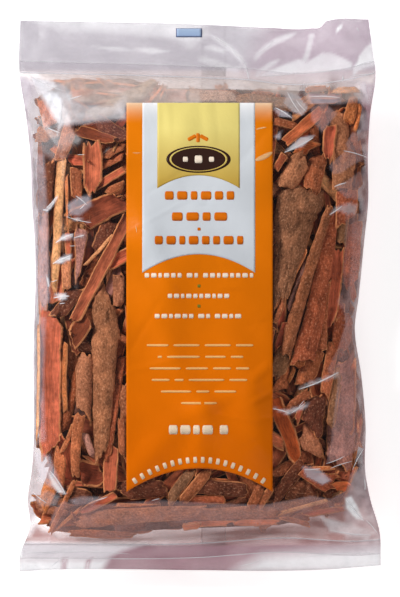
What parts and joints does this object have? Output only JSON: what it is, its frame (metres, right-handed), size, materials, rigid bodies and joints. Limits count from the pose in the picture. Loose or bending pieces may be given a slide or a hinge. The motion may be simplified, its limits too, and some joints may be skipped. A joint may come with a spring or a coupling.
{
  "type": "sealed bag of cassia bark",
  "caption": "Clear film pillow bag filled with broken cassia bark, sealed across head and foot, with an orange and white printed panel down its front.",
  "frame": {"origin": "centre of the bag's box, on the surface that it lies on", "axes": "+Y towards the head of the bag, +Z out of its front, away from the surface that it lies on"},
  "size_m": [0.2002, 0.3061, 0.0524],
  "materials": {
    "bark_in_clear_film": "glossy clear film with brown bark close behind it",
    "printed_film": "glossy film printed orange, white and gold",
    "clear_film": "thin clear glossy plastic film, slightly milky",
    "cassia_bark": "dry curled bark, rough grey-brown outside and smooth red-brown inside"
  },
  "bodies": {
    "root": {"bag": "bark_in_clear_film", "printed_panel": "printed_film"}
  },
  "joints": []
}
